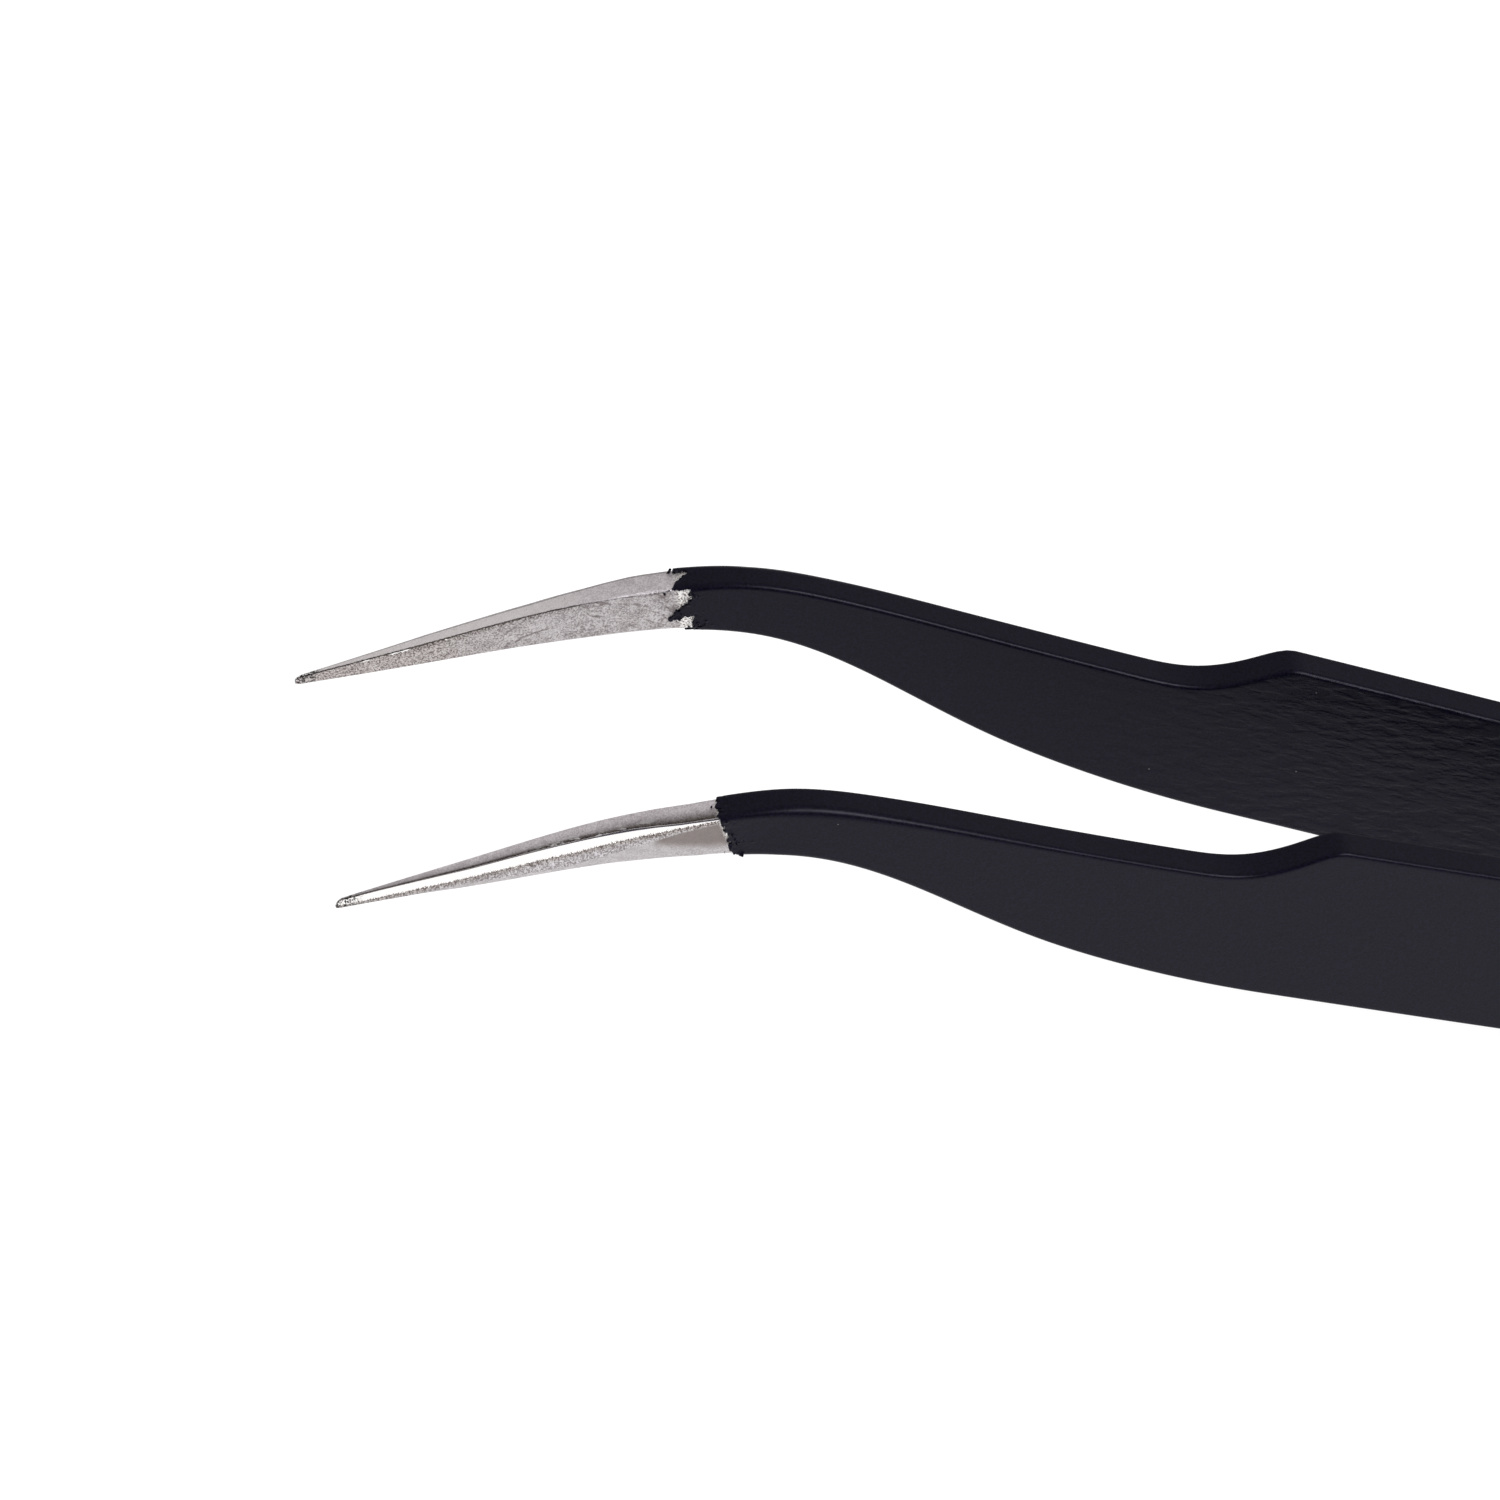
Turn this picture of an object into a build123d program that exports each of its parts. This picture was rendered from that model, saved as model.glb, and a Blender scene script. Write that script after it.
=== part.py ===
from build123d import *
import os
from math import asin, atan, degrees, hypot

# Curved fine-point tweezers. Two blades, stamped from spring steel and bowed apart, are spot
# welded face to face at the tail. A thin black coat covers all but the ground tips.
#
# Frame, in millimetres: X runs from the tips (-) to the tail (+), Y is the way the blades open,
# and Z is up. The tweezers stand on edge on a table at Z = 0, on both tips and the tail's lower
# edge, and the origin is the bottom centre of the whole object. "Behind the tips" is a distance
# along X from the tips. Seen from the tail, the right blade is on the +Y side.

# Driving dimensions.
LENGTH = 120.0            # tips to tail, over the coat
STEEL = 1.3               # thickness of the blade stock
COAT = 0.11               # thickness of the black coat
GRIP_WIDTH = 9.5          # over the coat, from the shoulder to mid-length
TAIL_WIDTH = 6.2          # over the coat, at the tail's end
TAIL_CORNER = 2.2         # corner radius of the steel at the tail
HANDLE_FALL = 0.0577      # how much the handle's centre line drops per unit towards the tail

# Stations, as distances behind the tips.
GRIND_START = 15.0        # where a tip begins to be ground thinner
COAT_EDGE = 15.9          # where the coat begins, at COAT_EDGE_HEIGHT
SHOULDER = 44.4           # crest of the step where the fingers stop
TAPER_START = 74.0        # where the handle begins to narrow
LEAF_START = 84.0         # where the part of a blade that bends begins
WELD_FRONT = 106.0        # where the blades come together
WELD_SPOTS = {"front_spot_weld": 110.0, "rear_spot_weld": 115.0}

COAT_EDGE_HEIGHT = 8.35   # over the table
COAT_EDGE_LEAN = 0.6      # how far the coat's edge leans towards the tips, per unit of height
SHOULDER_HEIGHT = 12.1    # top of the shoulder over the table, over the coat
TIP_OPENING = 13.6        # between the inner faces at the tips
TIP_THICKNESS = 0.3       # of a ground tip, at its point
CLOSED_GAP = 0.04         # left between the tips when the tweezers are squeezed shut
WELD_RADIUS = 1.5
WELD_DEPTH = 1.1          # length of a weld nugget, half of it in each tang

# The steel's upper and lower edges in front of the shoulder: (behind the tips, height).
UPPER_EDGE = [(0.1, 0.6), (5.3, 4.25), (9.6, 7.2), (13.8, 9.37), (17.4, 10.68), (21.5, 10.95),
              (29.2, 10.4), (37.4, 9.8), (40.6, 10.0), (42.7, 11.1)]
LOWER_EDGE = [(0.0, 0.0), (5.3, 2.7), (9.5, 4.85), (13.6, 6.64), (16.8, 7.74), (19.5, 8.08),
              (22.9, 7.65), (27.4, 6.25), (31.9, 4.75), (36.9, 3.6)]
UPPER_TIP_SLOPE = 0.72
LOWER_TIP_SLOPE = 0.5

# The inner face of the right blade: (behind the tips, distance from the middle plane).
INNER_FACE = [(0.0, TIP_OPENING / 2), (GRIND_START, 6.37), (43.0, 5.1), (58.4, 4.24),
              (78.0, 2.85), (94.0, 1.3), (WELD_FRONT, 0.0)]
TIP_BOW = 0.04            # how far the tips lean in, per unit of length

HEIGHT_SPAN = 40.0        # tall enough to pass the whole object


def along(behind):
    """The X of a point some way behind the tips."""
    return behind - LENGTH / 2


def handle_centre(behind):
    """The height of the handle's centre line."""
    crest = SHOULDER_HEIGHT - GRIP_WIDTH / 2
    return crest - HANDLE_FALL * (behind - SHOULDER)


def outline_point(behind, side, width, grow):
    """A point on a blade's edge on the handle: side is +1 for the upper edge."""
    return along(behind), handle_centre(behind) + side * (width / 2 - COAT + grow)


def side_face(grow):
    """A blade's outline seen from the side, drawn in X and Z, grown from the bare steel's."""
    end = LENGTH - COAT + grow
    upper = [(along(x), z + grow) for x, z in UPPER_EDGE]
    lower = [(along(x), z - grow) for x, z in LOWER_EDGE]
    upper += [outline_point(SHOULDER, 1, GRIP_WIDTH, grow)]
    lower += [outline_point(SHOULDER, -1, GRIP_WIDTH, grow)]
    tail = [
        outline_point(TAPER_START, 1, GRIP_WIDTH, grow),
        outline_point(end, 1, TAIL_WIDTH, grow),
        outline_point(end, -1, TAIL_WIDTH, grow),
        outline_point(TAPER_START, -1, GRIP_WIDTH, grow),
    ]
    handle = (1, -HANDLE_FALL)
    face = make_face(Curve() + [
        Spline(*upper, tangents=[(1, UPPER_TIP_SLOPE), handle]),
        Polyline(upper[-1], *tail, lower[-1]),
        Spline(*lower, tangents=[(1, LOWER_TIP_SLOPE), handle]),
        Line(lower[0], upper[0]),
    ])
    corners = [v for v in face.vertices() if v.X > along(end) - 0.01]
    return fillet(corners, TAIL_CORNER + grow)


def plan_face(grow):
    """The right blade's curved strip seen from above, drawn in X and Y, with its ground tip."""
    inner = [(along(x), y - grow) for x, y in INNER_FACE]
    outer = [(x, y + STEEL + 2 * grow) for x, y in inner]
    bow = [(1, -TIP_BOW), (1, 0)]
    tail_x = along(LENGTH - COAT + grow)
    strip = make_face(Curve() + [
        Spline(*inner, tangents=bow),
        Polyline(inner[-1], (tail_x, -grow), (tail_x, STEEL + grow), outer[-1]),
        Spline(*outer, tangents=bow),
        Line(outer[0], inner[0]),
    ])
    ground_start = outer[1]
    ground_point = (inner[0][0], inner[0][1] + TIP_THICKNESS + 2 * grow)
    above = (ground_point[0], ground_point[1] + 2 * STEEL)
    return strip - make_face(Polyline(ground_point, ground_start, above, close=True))


def upright(face):
    """A solid through the whole height, above a face drawn in X and Y."""
    return extrude(face, amount=HEIGHT_SPAN, both=True)


def crosswise(face):
    """A solid through the whole width, from a face drawn in X and Z."""
    return extrude(Plane.XZ * face, amount=HEIGHT_SPAN, both=True)


def blade_solid(grow):
    """The whole right blade, from tip to tail, or its outer skin."""
    return one_solid(crosswise(side_face(grow)) & upright(plan_face(grow)))


def between(start, end):
    """A slab of space on the right side, between two distances behind the tips."""
    corner = Location((along(start), 0, -HEIGHT_SPAN / 2))
    size = Box(end - start, HEIGHT_SPAN, HEIGHT_SPAN * 2, align=(Align.MIN, Align.MIN, Align.MIN))
    return corner * size


def behind_coat_edge():
    """All the space behind the leaning plane where the coat begins."""
    edge = []
    for height in (-HEIGHT_SPAN / 8, HEIGHT_SPAN / 2):
        lean = COAT_EDGE_LEAN * (height - COAT_EDGE_HEIGHT)
        edge.append((along(COAT_EDGE - lean), height))
    back = [(along(LENGTH + 1), height) for _, height in edge[::-1]]
    return crosswise(make_face(Polyline(*edge, *back, close=True)))


def one_solid(shape):
    """The single solid of a boolean's result."""
    solids = shape.solids()
    assert len(solids) == 1, f"expected one solid, found {len(solids)}"
    return solids[0]


def cut_lengths(shape, stations):
    """A right-hand shape cut across into the lengths between the stations."""
    return [one_solid(shape & between(a, b)) for a, b in zip(stations, stations[1:])]


def weld_nugget(behind):
    """One spot weld's melted nugget, half in each tang."""
    place = Plane.XZ * Location((along(behind), handle_centre(behind), 0))
    return extrude(place * Circle(WELD_RADIUS), amount=WELD_DEPTH / 2, both=True)


def build():
    """Every named piece of the tweezers."""
    steel = blade_solid(0)
    skin = blade_solid(COAT)
    blade, leaf, tang = cut_lengths(steel, [-1, LEAF_START, WELD_FRONT, LENGTH + 1])
    coat = (skin - steel) & behind_coat_edge()
    coats = cut_lengths(coat, [0, LEAF_START, WELD_FRONT, LENGTH + 1])
    welds = {name: one_solid(weld_nugget(x)) for name, x in WELD_SPOTS.items()}
    tang = one_solid(tang - list(welds.values()))
    right = {"blade": blade, "spring_leaf": leaf, "tang": tang,
             "blade_coat": coats[0], "spring_coat": coats[1]}
    nodes = dict(welds)
    for name, piece in right.items():
        nodes[f"right_{name}"] = piece
        nodes[f"left_{name}"] = mirror(piece, Plane.XZ)
    nodes["tail_coat"] = one_solid(coats[2] + mirror(coats[2], Plane.XZ))
    return nodes


def closing_angle():
    """The turn about the weld's front, in degrees, that brings a tip to the middle plane."""
    pivot = STEEL / 2
    aside = TIP_OPENING / 2 - pivot
    reach = hypot(WELD_FRONT, aside)
    return degrees(atan(aside / WELD_FRONT) + asin((pivot - CLOSED_GAP / 2) / reach))


os.makedirs("parts", exist_ok=True)
for node, piece in build().items():
    export_step(piece, f"parts/{node}.step")
print(f"closing angle {closing_angle():.3f} degrees")
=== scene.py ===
import bpy
import numpy as np
from math import cos, pi, radians, sin
from types import SimpleNamespace
from mathutils import Matrix, Vector, noise


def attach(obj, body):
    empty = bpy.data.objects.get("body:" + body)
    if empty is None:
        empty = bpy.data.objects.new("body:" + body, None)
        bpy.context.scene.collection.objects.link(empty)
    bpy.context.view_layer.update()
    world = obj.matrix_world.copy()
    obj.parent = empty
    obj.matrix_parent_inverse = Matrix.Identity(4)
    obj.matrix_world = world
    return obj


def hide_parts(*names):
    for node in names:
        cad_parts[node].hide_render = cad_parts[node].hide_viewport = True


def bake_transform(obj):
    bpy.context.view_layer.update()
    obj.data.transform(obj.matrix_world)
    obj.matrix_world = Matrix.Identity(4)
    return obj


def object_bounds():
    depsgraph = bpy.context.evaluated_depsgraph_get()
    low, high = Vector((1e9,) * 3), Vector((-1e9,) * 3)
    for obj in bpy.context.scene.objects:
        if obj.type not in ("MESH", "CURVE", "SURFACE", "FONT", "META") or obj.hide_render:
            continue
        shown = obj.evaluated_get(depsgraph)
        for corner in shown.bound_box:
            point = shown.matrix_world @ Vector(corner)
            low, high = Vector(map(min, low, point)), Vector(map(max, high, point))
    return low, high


# Curved fine-point tweezers, standing on edge. Lengths here are in millimetres until a mesh is
# made. "Behind" is a distance behind the tips along X, as in the CAD. Each arm is worked out as
# the right one, at +Y, and the left one is its mirror image with marks of its own.

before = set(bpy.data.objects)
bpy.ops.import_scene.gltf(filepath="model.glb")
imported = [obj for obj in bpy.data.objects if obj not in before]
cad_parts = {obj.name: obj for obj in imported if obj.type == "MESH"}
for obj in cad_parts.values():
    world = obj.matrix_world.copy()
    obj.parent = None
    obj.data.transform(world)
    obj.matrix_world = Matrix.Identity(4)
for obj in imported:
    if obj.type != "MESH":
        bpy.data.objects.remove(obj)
cad_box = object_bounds()

MM = 0.001
LENGTH = (cad_box[1].x - cad_box[0].x) / MM
ARMS = {"left": -1, "right": 1}

# The CAD's own sizes and stations.
STEEL = 1.3
COAT = 0.11
GRIP_WIDTH = 9.5
TAIL_WIDTH = 6.2
TAIL_CORNER = 2.2
HANDLE_FALL = 0.0577
SHOULDER = 44.4
TAPER_START = 74.0
LEAF_START = 84.0
WELD_FRONT = 106.0
SPOT_WELDS = (110.0, 115.0)
SHOULDER_HEIGHT = 12.1
UPPER_EDGE = [(0.1, 0.6), (5.3, 4.25), (9.6, 7.2), (13.8, 9.37), (17.4, 10.68), (21.5, 10.95),
              (29.2, 10.4), (37.4, 9.8), (40.6, 10.0), (42.7, 11.1)]
LOWER_EDGE = [(0.0, 0.0), (5.3, 2.7), (9.5, 4.85), (13.6, 6.64), (16.8, 7.74), (19.5, 8.08),
              (22.9, 7.65), (27.4, 6.25), (31.9, 4.75), (36.9, 3.6)]
UPPER_TIP_SLOPE = 0.72
LOWER_TIP_SLOPE = 0.5
INNER_FACE = [(0.0, 6.8), (15.0, 6.37), (43.0, 5.1), (58.4, 4.24), (78.0, 2.85), (94.0, 1.3),
              (106.0, 0.0)]
TIP_BOW = 0.04

# The ground tip, by distance behind the point: the steel's thickness at the upper edge, at the
# crest, at the foot of the scratched facet and at the lower edge, and how high the crest and that
# foot lie, as shares of the width. Behind TIP_END the steel is stock.
GROUND = {
    "behind": [0.0, 1.5, 3.0, 5.0, 7.0, 9.0, 11.0, 13.0, 14.5, 16.0, 18.0],
    "upper": [0.10, 0.22, 0.36, 0.55, 0.66, 0.78, 0.96, 1.22, 1.30, 1.30, 1.30],
    "crest": [0.18, 0.30, 0.45, 0.66, 0.80, 0.93, 1.10, 1.28, 1.30, 1.30, 1.30],
    "foot": [0.17, 0.28, 0.42, 0.61, 0.73, 0.82, 1.00, 1.25, 1.30, 1.30, 1.30],
    "lower": [0.05, 0.10, 0.23, 0.45, 0.59, 0.67, 0.77, 0.96, 1.15, 1.22, 1.30],
    "crest_place": [0.40, 0.45, 0.53, 0.62, 0.64, 0.67, 0.79, 0.90, 0.94, 0.96, 0.97],
    "foot_place": [0.10, 0.13, 0.18, 0.28, 0.23, 0.18, 0.43, 0.75, 0.86, 0.90, 0.92],
}
TIP_END = 18.0
# Radii of the steel's four arrises, by distance behind the point.
ARRISES = {
    "behind": [0.0, 2.0, 7.0, 9.0, 10.3, 12.0, 13.5, 15.0, 18.0, 24.0, 32.0],
    "inner_lower": [0.05, 0.06, 0.08, 0.09, 0.10, 0.14, 0.20, 0.20, 0.14, 0.10, 0.09],
    "inner_upper": [0.03, 0.03, 0.03, 0.03, 0.04, 0.10, 0.22, 0.20, 0.13, 0.10, 0.09],
    "outer_upper": [0.06, 0.08, 0.14, 0.18, 0.14, 0.08, 0.08, 0.16, 0.34, 0.20, 0.09],
    "outer_lower": [0.03, 0.06, 0.10, 0.12, 0.15, 0.20, 0.26, 0.26, 0.20, 0.14, 0.09],
}
# How softly the facets meet, as a share of the width, how far the point is rounded, and how much
# of that the inner face takes.
CREST_BLEND = 0.02
NOSE = 0.2
NOSE_INSIDE = 0.4
# The coat reaches this far into the steel, so that no gap shows between them.
SUNK = 0.006

# How finely a cross-section is cut: along a broad face, along an edge and round an arris.
FACE_STEPS = 56
EDGE_STEPS = 24
ARC_STEPS = 8


# ---------------------------------------------------------------- curves and cross-sections

def smooth_curve(points, start_slope, end_slope):
    """A curve through the points with continuous curvature, as a function of distance."""
    x, y = np.array(points, float).T
    step = np.diff(x)
    rise = np.diff(y) / step
    rows = np.eye(len(x))
    wanted = np.zeros(len(x))
    wanted[0] = start_slope
    wanted[-1] = end_slope
    for i in range(1, len(x) - 1):
        rows[i, i - 1:i + 2] = step[i], 2 * (step[i - 1] + step[i]), step[i - 1]
        wanted[i] = 3 * (step[i] * rise[i - 1] + step[i - 1] * rise[i])
    slope = np.linalg.solve(rows, wanted)

    def curve(at):
        i = np.clip(np.searchsorted(x, at) - 1, 0, len(x) - 2)
        t = (at - x[i]) / step[i]
        start = (1 + 2 * t) * (1 - t) ** 2 * y[i] + t * (1 - t) ** 2 * step[i] * slope[i]
        end = t ** 2 * (3 - 2 * t) * y[i + 1] + t ** 2 * (t - 1) * step[i] * slope[i + 1]
        return start + end

    return curve


def step_up(value, start, end):
    """A smooth rise from 0 at the start to 1 at the end."""
    share = np.clip((value - start) / (end - start), 0, 1)
    return share ** 2 * (3 - 2 * share)


def round_off(into, radius):
    """How far a face draws in near an end with a quarter-round, `into` from that end."""
    short = np.clip(radius - into, 0, radius)
    return radius - np.sqrt(radius ** 2 - short ** 2)


def along(behind):
    """The X of a distance behind the tips."""
    return behind - LENGTH / 2


def handle_centre(behind):
    """The height of the middle of the handle."""
    return SHOULDER_HEIGHT - GRIP_WIDTH / 2 - HANDLE_FALL * (behind - SHOULDER)


def handle_half(behind):
    """Half of the steel's width on the handle."""
    share = np.clip((behind - TAPER_START) / (LENGTH - COAT - TAPER_START), 0, 1)
    return (GRIP_WIDTH + (TAIL_WIDTH - GRIP_WIDTH) * share) / 2 - COAT


def handle_edge(side):
    """The point at the shoulder where the handle's upper (+1) or lower (-1) edge starts."""
    return SHOULDER, handle_centre(SHOULDER) + side * handle_half(SHOULDER)


upper_front = smooth_curve(UPPER_EDGE + [handle_edge(1)], UPPER_TIP_SLOPE, -HANDLE_FALL)
lower_front = smooth_curve(LOWER_EDGE + [handle_edge(-1)], LOWER_TIP_SLOPE, -HANDLE_FALL)
inner_face = smooth_curve(INNER_FACE, -TIP_BOW, 0.0)


def edge_height(behind, side):
    """The height of the steel's upper (side +1) or lower (-1) edge."""
    if behind < SHOULDER:
        return (upper_front if side > 0 else lower_front)(behind)
    return handle_centre(behind) + side * handle_half(behind)


def ground(name, behind):
    """A row of the table for the ground tip, between its columns."""
    return np.interp(behind, GROUND["behind"], GROUND[name])


def ground_thickness(behind, share):
    """The steel's thickness at a share of its width, from the lower edge up."""
    places = [0, ground("foot_place", behind), ground("crest_place", behind), 1]
    depths = [ground(name, behind) for name in ("lower", "foot", "crest", "upper")]
    near = [np.interp(np.clip(share + shift, 0, 1), places, depths)
            for shift in (-CREST_BLEND, 0, CREST_BLEND)]
    return sum(near) / 3


def section_pattern():
    """Each point round a rounded rectangle: its two corners, the mix of them and its angle. It
    starts at the inner face's foot and goes up, over the top and down the outer face."""
    pattern = []
    flats = [FACE_STEPS, EDGE_STEPS, FACE_STEPS, EDGE_STEPS]
    for corner, count in enumerate(flats):
        facing = pi - corner * pi / 2
        ahead = (corner + 1) % 4
        for k in range(count):
            pattern.append((corner, ahead, k / count, facing))
        for k in range(ARC_STEPS):
            pattern.append((ahead, ahead, 0.0, facing - k / ARC_STEPS * pi / 2))
    return pattern


PATTERN = section_pattern()
RING = len(PATTERN)
FROM_CORNER = np.array([p[0] for p in PATTERN])
TO_CORNER = np.array([p[1] for p in PATTERN])
MIX = np.array([p[2] for p in PATTERN])
ANGLE = np.array([p[3] for p in PATTERN])

# The pattern's stretches. Each side of the section takes a part of the arrises beside it.
NUMBER = np.arange(RING)
INNER_ARRIS = FACE_STEPS + ARC_STEPS // 2
TOP_START = FACE_STEPS + ARC_STEPS
OUTER_ARC = TOP_START + EDGE_STEPS
LOWER_ARC = OUTER_ARC + ARC_STEPS + FACE_STEPS
TOP_FLAT = NUMBER[TOP_START:OUTER_ARC]
INNER_SIDE = NUMBER < INNER_ARRIS
OUTER_SIDE = (NUMBER > OUTER_ARC - 2) & (NUMBER < LOWER_ARC + ARC_STEPS - 2)
LOWER_SIDE = NUMBER > LOWER_ARC
TOP_SIDE = ~(INNER_SIDE | OUTER_SIDE | LOWER_SIDE)


def rounded_box(low, high, radii):
    """The pattern's points as (across, up) round a box from low to high. No radius may pass half
    of the box's lesser side."""
    radii = np.minimum(radii, 0.49 * min(high[0] - low[0], high[1] - low[1]))
    across = np.array([low[0], low[0], high[0], high[0]]) + np.array([1, 1, -1, -1]) * radii
    up = np.array([low[1], high[1], high[1], low[1]]) + np.array([1, -1, -1, 1]) * radii
    across, up, radius = [c[FROM_CORNER] * (1 - MIX) + c[TO_CORNER] * MIX
                          for c in (across, up, radii)]
    return across + radius * np.cos(ANGLE), up + radius * np.sin(ANGLE)


def ring(behind, grow=0.0):
    """A cross-section of the steel grown by `grow`, as points of X, Y and Z."""
    to_end = LENGTH - COAT + grow - behind
    corner = round_off(to_end, TAIL_CORNER + grow)
    nose = round_off(behind, NOSE)
    lower = edge_height(behind, -1) + corner + nose - grow
    upper = edge_height(behind, 1) - corner - nose + grow
    inner = inner_face(min(behind, WELD_FRONT))
    outside = (ground("crest", behind) if behind < TIP_END else STEEL) + grow
    inside = max(-grow, -inner) + nose * NOSE_INSIDE
    radii = [np.interp(behind, ARRISES["behind"], ARRISES[name]) + grow
             for name in ("inner_lower", "inner_upper", "outer_upper", "outer_lower")]
    end_round = round_off(to_end, COAT * 2) if grow > 0 else 0.0
    across, up = rounded_box((inside, lower), (outside - end_round, upper), np.array(radii))
    if behind < TIP_END:
        share = np.clip((up - lower) / (upper - lower), 0, 1)
        across = across * (ground_thickness(behind, share) + grow) / outside
    return np.stack([np.full(RING, along(behind)), inner + across, up], 1)


def rings(stations, grow=0.0):
    """The cross-sections at all of the stations."""
    return np.array([ring(behind, grow) for behind in stations])


def round_place(points):
    """How far round the section each point lies from the inner face's upper arris."""
    steps = np.linalg.norm(np.roll(points, -1, 0) - points, axis=1)
    place = np.concatenate([[0], np.cumsum(steps)[:-1]])
    return place - place[INNER_ARRIS]


def spaced(*spans):
    """Stations behind the tips, from spans of a start, an end and a spacing."""
    return np.concatenate([np.arange(*span) for span in spans])


# ---------------------------------------------------------------- meshes

def new_mesh(name, points, faces, side, material, values=None):
    """A smooth mesh from points in millimetres, mirrored for the left arm."""
    points = np.array(points, float) * (1, side, 1) * MM
    faces = [face[::-1] for face in faces] if side > 0 else faces
    mesh = bpy.data.meshes.new(name)
    mesh.from_pydata(points.tolist(), [], faces)
    for key, value in (values or {}).items():
        mesh.attributes.new(key, "FLOAT", "POINT").data.foreach_set("value", value)
    mesh.shade_smooth()
    mesh.set_sharp_from_angle(angle=radians(50))
    mesh.materials.append(material)
    obj = bpy.data.objects.new(name, mesh)
    bpy.context.scene.collection.objects.link(obj)
    return obj


def new_bar(name, sections, side, material, values=None):
    """A closed bar through successive rings."""
    faces = []
    for r in range(len(sections) - 1):
        a, b = r * RING, (r + 1) * RING
        for k in range(RING):
            n = (k + 1) % RING
            faces.append((a + k, a + n, b + n, b + k))
    last = (len(sections) - 1) * RING
    faces += [tuple(range(RING))[::-1], tuple(range(last, last + RING))]
    return new_mesh(name, np.concatenate(sections), faces, side, material, values)


class Shell:
    """A coat between an outer and an inner sheet of rings, where kept > 0, with a wall along the
    edge of what is kept. Each point takes its mark from its place in the rings."""

    def __init__(self, outer, inner, marks, kept=None):
        self.sheets = outer, inner
        self.ring_marks = marks
        self.kept = np.ones(outer.shape[:2]) if kept is None else kept
        self.rows, self.count = self.kept.shape
        self.points, self.faces, self.marks, self.numbers = [], [], [], {}
        for r in range(self.rows - 1):
            for k in range(self.count):
                self.add_cell(r, k)

    def point(self, key, place, mark):
        """The number of a point, which is made the first time."""
        if key not in self.numbers:
            self.numbers[key] = len(self.points)
            self.points.append(place)
            self.marks.append(mark)
        return self.numbers[key]

    def corner(self, sheet, r, k):
        """A point of a sheet's own rings."""
        return self.point((sheet, r, k), self.sheets[sheet][r, k], self.ring_marks[r, k])

    def crossing(self, sheet, a, b):
        """The point between two corners where what is kept ends."""
        a, b = sorted((a, b))
        t = np.clip(self.kept[a] / (self.kept[a] - self.kept[b]), 0.06, 0.94)
        grid = self.sheets[sheet]
        return self.point((sheet, a, b), grid[a] * (1 - t) + grid[b] * t, self.ring_marks[a])

    def outline(self, cell, inside):
        """The part of a cell that is kept: its corners, and the sides that the edge crosses."""
        outline = []
        for i in range(4):
            a, b = cell[i], cell[(i + 1) % 4]
            if inside[i]:
                outline.append((a, None))
            if inside[i] != inside[(i + 1) % 4]:
                outline.append((a, b))
        return outline

    def add_cell(self, r, k):
        """The kept part of a cell on both sheets, and the wall along its edge."""
        n = (k + 1) % self.count
        cell = [(r, k), (r, n), (r + 1, n), (r + 1, k)]
        inside = [self.kept[c] > 0 for c in cell]
        if not any(inside):
            return
        outline = self.outline(cell, inside)
        above, below = [[self.corner(sheet, *a) if b is None else self.crossing(sheet, a, b)
                         for a, b in outline] for sheet in (0, 1)]
        self.faces += [tuple(above), tuple(below[::-1])]
        for i in range(len(outline)):
            j = (i + 1) % len(outline)
            if outline[i][1] and outline[j][1] and inside[cell.index(outline[i][0])]:
                self.faces.append((above[j], above[i], below[i], below[j]))

    def add_end_wall(self, r, turn):
        """The wall between the sheets across an end ring, facing out for a turn of 1 or -1."""
        for k in range(self.count):
            n = (k + 1) % self.count
            if self.kept[r, k] > 0 and self.kept[r, n] > 0:
                wall = [self.corner(0, r, n), self.corner(0, r, k),
                        self.corner(1, r, k), self.corner(1, r, n)]
                self.faces.append(tuple(wall[::turn]))

    def add_caps(self):
        """Strips across the last ring of each sheet, which close the shell there."""
        for sheet, turn in ((0, 1), (1, -1)):
            for k in range(self.count // 2):
                strip = [k, k + 1, self.count - k - 1, (self.count - k) % self.count]
                strip = list(dict.fromkeys(strip))[::turn]
                self.faces.append(tuple(self.corner(sheet, self.rows - 1, k) for k in strip))

    def mesh(self, name, side, blind=False):
        """The coat's mesh, with end walls, or with a cap in place of the last one if blind."""
        self.add_end_wall(0, 1)
        if blind:
            self.add_caps()
        else:
            self.add_end_wall(self.rows - 1, -1)
        return new_mesh(name, self.points, self.faces, side, coat, {"wrinkle": self.marks})


# ---------------------------------------------------------------- nodes

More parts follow.
